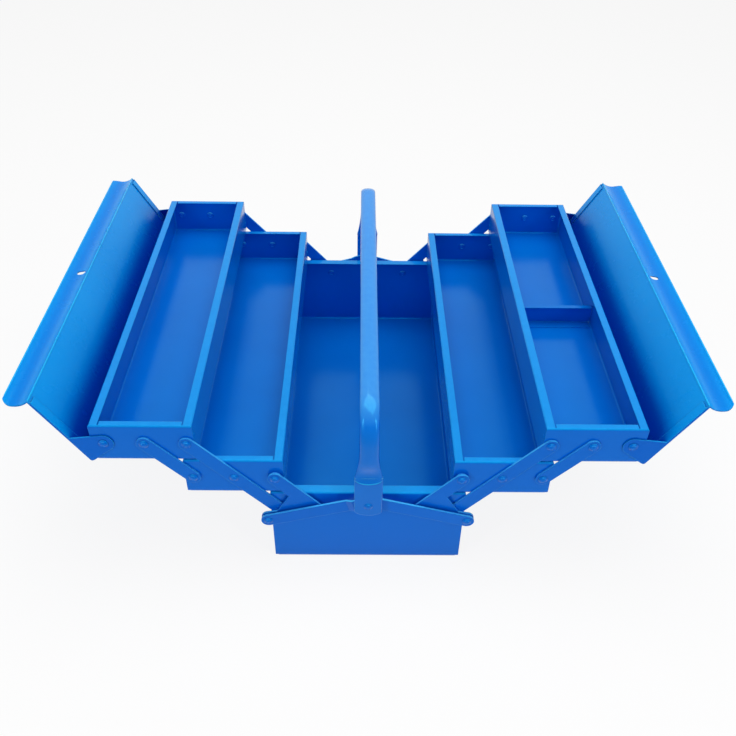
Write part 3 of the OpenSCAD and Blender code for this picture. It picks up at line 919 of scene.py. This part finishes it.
@dataclass
class LidTrim:
    """Beads of paint that round a lid's ridge and its outer edge."""

    side: Side
    node: bpy.types.Object
    body: str
    bead_r: float = 0.85 * MM
    inset: float = 0.9 * MM
    corner: float = 10.0 * MM
    ridge_end: float = 0.5 * MM
    ridge_band: float = 0.05 * MM
    rim_band: float = 1.0 * MM
    sides: int = 12
    tips: tuple[tuple[float, float], ...] = ((0.0, 0.3), (0.4 * MM, 0.8), (1.0 * MM, 1.0))

    def bead(self, work: bmesh.types.BMesh, x: float, z: float, start: float,
             end: float) -> None:
        """Adds one straight bead with rounded ends.

        Args:
            work: The mesh under construction.
            x: The bead's place across the box.
            z: Its height.
            start: Where it starts along the box.
            end: Where it ends.
        """
        stations = [(start + tip, share) for tip, share in self.tips]
        stations += [(end - tip, share) for tip, share in reversed(self.tips)]
        turns = [2 * math.pi * index / self.sides for index in range(self.sides)]
        rings = []
        for along, share in stations:
            radius = share * self.bead_r
            rings.append([
                work.verts.new((x + radius * math.cos(turn), along, z + radius * math.sin(turn)))
                for turn in turns
            ])
        for ring, following in zip(rings, rings[1:]):
            for index in range(self.sides):
                after = (index + 1) % self.sides
                work.faces.new((ring[index], ring[after], following[after], following[index]))
        work.faces.new(rings[0])
        work.faces.new(rings[-1][::-1])

    def build(self, enamel: bpy.types.Material) -> None:
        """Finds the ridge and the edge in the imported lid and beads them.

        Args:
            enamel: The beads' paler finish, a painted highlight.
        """
        out = float(self.side.value)
        points = [vert.co for vert in self.node.data.vertices]
        top = max(point.z for point in points)
        far = max(point.x * out for point in points)
        ridge = [point for point in points if point.z > top - self.ridge_band]
        rim = [point for point in points if point.x * out > far - self.rim_band]
        near_y = min(point.y for point in points)
        far_y = max(point.y for point in points)
        ridge_x = sum(point.x for point in ridge) / len(ridge)
        rim_z = (min(point.z for point in rim) + max(point.z for point in rim)) / 2
        work = bmesh.new()
        beads = (
            (ridge_x, top - self.inset, self.ridge_end),
            ((far - self.inset) * out, rim_z, self.corner),
        )
        for x, z, short in beads:
            self.bead(work, x, z, near_y + short, far_y - short)
        mesh = bpy.data.meshes.new(self.node.name + "_beads")
        work.to_mesh(mesh)
        work.free()
        mesh.materials.append(enamel)
        add_piece(mesh.name, smooth(mesh, TRIM_SHARP), self.body)


@dataclass
class CarryingHandle:
    """Flat-oval tube, its crimped shoulders and its two riveted flats."""

    body: str
    width: float = 19.0 * MM
    thick: float = 9.0 * MM
    bend_r: float = 32.0 * MM
    flat_w: float = 28.0 * MM
    flat_t: float = 3.2 * MM
    flat_down: float = 14.0 * MM
    flat_up: float = 34.0 * MM
    foot_r: float = 20.5 * MM
    taper: float = 42.0 * MM
    shoulder_w: float = 29.0 * MM
    shoulder_sag: float = 4.0 * MM
    dish: float = 3.4 * MM
    dish_l: float = 27.0 * MM
    around: int = 48
    roundness: float = 2.1
    bend_steps: int = 14
    flat_steps: int = 16
    flat_lap: float = 7.0 * MM
    flat_round: float = 0.7 * MM
    flat_segments: int = 3
    taper_ease: float = 1.7
    dish_skew: float = 0.75
    dish_ease: float = 1.3
    middle_ease: float = 2.6
    sag_reach: float = 1.4
    mouth: float = 1.6 * MM
    mouth_pinch: float = 0.3
    lip_r: float = 0.62 * MM
    lip_up: float = 0.9 * MM
    lip_sink: float = 0.25 * MM
    lip_front: float = 0.35
    lip_sides: int = 10
    lip_lead: float = 0.6
    lip_spare: float = 0.2
    ring_heights: tuple[float, ...] = (
        0.0, 0.5, 1.1, 1.8, 2.8, 4.2, 6.0, 8.0, 10.5, 13.0, 16.0, 20.0, 25.0, 31.0, 37.0, 42.0,
    )

    def __post_init__(self) -> None:
        """Reads the handle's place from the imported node."""
        low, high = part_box("handle")
        self.leg_y = high[1] - self.thick / 2
        self.pin_z = low[2] + self.flat_down
        self.shoulder_z = self.pin_z + self.flat_up
        self.bar_z = high[2] - self.thick / 2

    def section(self, width: float) -> list[tuple[float, float]]:
        """Draws the tube's section.

        Args:
            width: Its width across the handle.

        Returns:
            Points as across and outward.
        """
        points = []
        for index in range(self.around):
            angle = 2 * math.pi * index / self.around
            cosine, sine = math.cos(angle), math.sin(angle)
            power = 2 / self.roundness
            points.append((
                width / 2 * math.copysign(abs(cosine) ** power, cosine),
                self.thick / 2 * math.copysign(abs(sine) ** power, sine),
            ))
        return points

    def leg_ring(self, up: float, out: float) -> list[Vector]:
        """Draws one ring of a leg.

        Args:
            up: Height above the shoulder.
            out: Which end of the box the leg is at.

        Returns:
            The ring's points.
        """
        share = min(max(up / self.taper, 0.0), 1.0)
        ease = (1 - share) ** self.taper_ease
        width = self.width + (self.shoulder_w - self.width) * ease
        dish = 0.0
        if 0.0 < up < self.dish_l:
            along = up / self.dish_l
            dish = self.dish * math.sin(math.pi * along ** self.dish_skew) ** self.dish_ease
        lip = max(0.0, 1.0 - up / self.mouth)
        ring = []
        for across, outward in self.section(width):
            middle = max(0.0, 1 - abs(2 * across / width) ** self.middle_ease)
            if outward > 0:
                outward -= dish * middle
            outward *= 1 - self.mouth_pinch * lip ** 2
            sag = self.shoulder_sag * (1 - middle) * max(0.0, 1 - share * self.sag_reach)
            y = out * (self.leg_y + outward)
            ring.append(Vector((across, y, self.shoulder_z + up + sag)))
        return ring

    def rings(self) -> list[list[Vector]]:
        """Lists the tube's rings from the near shoulder over the bar to the far one."""
        bend_z = self.bar_z - self.bend_r
        rows = [height * MM for height in self.ring_heights]
        rows.append(bend_z - self.shoulder_z)
        near = [self.leg_ring(up, -1.0) for up in rows]
        for step in range(1, self.bend_steps + 1):
            angle = step / self.bend_steps * math.pi / 2
            near.append([
                Vector((
                    across,
                    -(self.leg_y - self.bend_r) - (self.bend_r + outward) * math.cos(angle),
                    bend_z + (self.bend_r + outward) * math.sin(angle),
                ))
                for across, outward in self.section(self.width)
            ])
        far = [[Vector((p.x, -p.y, p.z)) for p in ring] for ring in reversed(near)]
        return near + far

    def flat(self, work: bmesh.types.BMesh, out: float) -> None:
        """Adds the flattened end around the rivet.

        Args:
            work: The mesh under construction.
            out: Which end of the box the flat is at.
        """
        half = self.flat_w / 2
        centre = self.pin_z - self.flat_down + self.foot_r
        reach = math.asin(half / self.foot_r)
        outline = [
            (self.foot_r * math.sin(angle), centre - self.foot_r * math.cos(angle))
            for angle in (
                -reach + 2 * reach * index / self.flat_steps for index in range(self.flat_steps + 1)
            )
        ]
        top = self.shoulder_z + self.flat_lap
        outline += [(half, top), (-half, top)]
        faces = []
        for side in (-1.0, 1.0):
            y = out * (self.leg_y + side * self.flat_t / 2)
            faces.append([work.verts.new((x, y, z)) for x, z in outline])
        inner, outer = faces
        work.faces.new(inner)
        work.faces.new(outer[::-1])
        edges = []
        for index in range(len(outline)):
            after = (index + 1) % len(outline)
            face = work.faces.new((inner[index], inner[after], outer[after], outer[index]))
            if index < len(outline) - 2:
                edges += [
                    edge for plate in faces for edge in face.edges
                    if all(vert in plate for vert in edge.verts)
                ]
        bmesh.ops.bevel(
            work, geom=list(dict.fromkeys(edges)), offset=self.flat_round,
            segments=self.flat_segments, profile=0.5, affect="EDGES",
        )

    def lip(self, work: bmesh.types.BMesh, out: float) -> None:
        """Adds the run of paint along the crimped shoulder's outer lip.

        Args:
            work: The mesh under construction.
            out: Which end of the box the shoulder is at.
        """
        ring = self.leg_ring(self.lip_up, out)
        proud = self.lip_front * self.thick / 2
        front = [point for point in ring if point.y * out - self.leg_y > proud]
        front.sort(key=lambda point: point.x)
        rows = []
        for index, point in enumerate(front):
            before = front[max(index - 1, 0)]
            after = front[min(index + 1, len(front) - 1)]
            along = (after - before).normalized()
            up = Vector((0.0, 0.0, 1.0))
            up = (up - up.dot(along) * along).normalized()
            side = along.cross(up)
            passed = (index + self.lip_lead) / (len(front) + self.lip_spare)
            share = math.sin(math.pi * passed) ** 0.5
            radius = self.lip_r * share
            centre = point - Vector((0.0, self.lip_sink * out, 0.0))
            rows.append([
                work.verts.new(centre + radius * (math.cos(turn) * up + math.sin(turn) * side))
                for turn in (
                    2 * math.pi * step / self.lip_sides for step in range(self.lip_sides)
                )
            ])
        for row, following in zip(rows, rows[1:]):
            for step in range(self.lip_sides):
                after = (step + 1) % self.lip_sides
                work.faces.new((row[step], row[after], following[after], following[step]))
        work.faces.new(rows[0])
        work.faces.new(rows[-1][::-1])

    def build(self, enamel: bpy.types.Material, bead_enamel: bpy.types.Material) -> None:
        """Makes the handle and hides the imported node whose place it takes.

        Args:
            enamel: The handle's finish.
            bead_enamel: The finish of the paint on the shoulders' lips, paler as a painted
                highlight.
        """
        work = bmesh.new()
        for end in End:
            self.lip(work, float(end.value))
        mesh = bpy.data.meshes.new("handle_lips")
        work.to_mesh(mesh)
        work.free()
        mesh.materials.append(bead_enamel)
        add_piece("handle_lips", smooth(mesh, LIP_SHARP), self.body)

        work = bmesh.new()
        rows = [[work.verts.new(point) for point in ring] for ring in self.rings()]
        for row, following in zip(rows, rows[1:]):
            for index in range(self.around):
                after = (index + 1) % self.around
                work.faces.new((row[index], row[after], following[after], following[index]))
        for ring in (rows[0], rows[-1]):
            middle = work.verts.new(sum((vert.co for vert in ring), Vector()) / self.around)
            for index in range(self.around):
                work.faces.new((ring[index], ring[(index + 1) % self.around], middle))
        for end in End:
            self.flat(work, float(end.value))
        mesh = bpy.data.meshes.new("handle_tube")
        work.to_mesh(mesh)
        work.free()
        mesh.materials.append(enamel)
        piece = add_piece("handle_tube", smooth(mesh, TUBE_SHARP), self.body)
        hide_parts("handle")


@dataclass
class ToolBox:
    """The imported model, its finishes and the details added to it."""

    nodes: dict[str, bpy.types.Object]

    def finish_for(self, name: str) -> Enamel:
        """Chooses the finish of a node by what it is.

        Args:
            name: The node's name.

        Returns:
            The finish.
        """
        if "rivets" in name or "spacers" in name:
            return RIVET_ENAMEL
        if name.endswith("lid"):
            return LID_ENAMEL
        if name == "handle":
            return HANDLE_ENAMEL
        if name.endswith(("arm", "crank", "link")):
            return ARM_ENAMEL
        return BODY_ENAMEL

    def fitted(self, name: str) -> Enamel:
        """Fits a node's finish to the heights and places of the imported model.

        Args:
            name: The node's name.

        Returns:
            The finish with its sizes.
        """
        enamel = self.finish_for(name)
        # The bar's top and the boxes' rims take painted sheen with rubbing, and the lid's valley a
        # painted shade.
        if enamel is HANDLE_ENAMEL:
            bar_top = float(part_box("handle")[1][2])
            return replace(enamel, rim_height=bar_top, rim_depth=BAR_DEPTH, rim_pale=BAR_WEAR_AND_SHEEN)
        if enamel is LID_ENAMEL:
            edge = float(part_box("right_lid")[1][0])
            return replace(enamel, valley_x=edge - VALLEY_IN)
        for ending, sample in RIM_SAMPLES.items():
            if name.endswith(ending):
                rim = float(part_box(sample)[1][2])
                return replace(enamel, name=ending + "_enamel", rim_height=rim)
        return enamel

    def body_of(self, name: str) -> str:
        """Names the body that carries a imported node."""
        return body_of(self.nodes[name])[0]

    def build(self) -> None:
        """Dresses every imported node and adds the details."""
        made: dict[str, bpy.types.Material] = {}
        for name, node in self.nodes.items():
            enamel = self.fitted(name)
            if enamel.name not in made:
                made[enamel.name] = enamel.build()
            dress(node, made[enamel.name])
            log.info("dressed %s with %s", name, enamel.name)
        # Paler paint on the lids' beads and the handle's lips: a painted highlight.
        bead_enamel = BEAD_HIGHLIGHT_ENAMEL.build()
        CarryingHandle(self.body_of("handle")).build(made[HANDLE_ENAMEL.name], bead_enamel)
        for name, node in self.nodes.items():
            if name.endswith("rivets"):
                RivetMarks(node, self.body_of(name)).build(made[RIVET_ENAMEL.name])
        body = made[BODY_ENAMEL.name]
        OpenBox("base_box", self.body_of("base_box"), BASE_BEND, weld_rows=4).build(body)
        for side in Side:
            name = side.word + "_lid"
            LidTrim(side, self.nodes[name], self.body_of(name)).build(bead_enamel)
            for level in ("middle", "top"):
                name = f"{side.word}_{level}_tray"
                OpenBox(name, self.body_of(name), TRAY_BEND).build(body)


def main() -> None:
    """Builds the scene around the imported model."""
    logging.basicConfig(level=logging.INFO, format="%(name)s: %(message)s")
    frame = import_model()
    bpy.context.scene.view_settings.view_transform = "Standard"
    PhotoCamera().build()
    Studio().build()
    ToolBox(frame["nodes"]).build()


if __name__ == "__main__":
    main()
